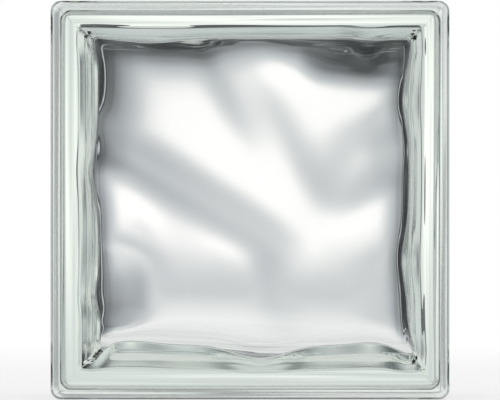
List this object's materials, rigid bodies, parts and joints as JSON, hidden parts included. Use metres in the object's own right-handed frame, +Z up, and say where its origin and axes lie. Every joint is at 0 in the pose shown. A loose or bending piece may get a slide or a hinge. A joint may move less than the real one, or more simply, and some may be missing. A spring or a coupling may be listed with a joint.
{
  "type": "glass block",
  "caption": "Square hollow block of clear pressed glass with softly waved inner faces, flanged edges and a mortar channel all round, laid up as a light-passing wall or panel.",
  "frame": {"origin": "centre of the square on which the two lower flange edges stand", "axes": "+Z up, +Y through the block from its front face to its back face, +X along the front face to the right as seen from the front"},
  "size_m": [0.19, 0.08, 0.19],
  "materials": {
    "clear_glass": "clear pressed glass, fire-polished, with a faint green tint"
  },
  "bodies": {
    "root": {"front_half": "clear_glass", "back_half": "clear_glass"}
  },
  "joints": []
}
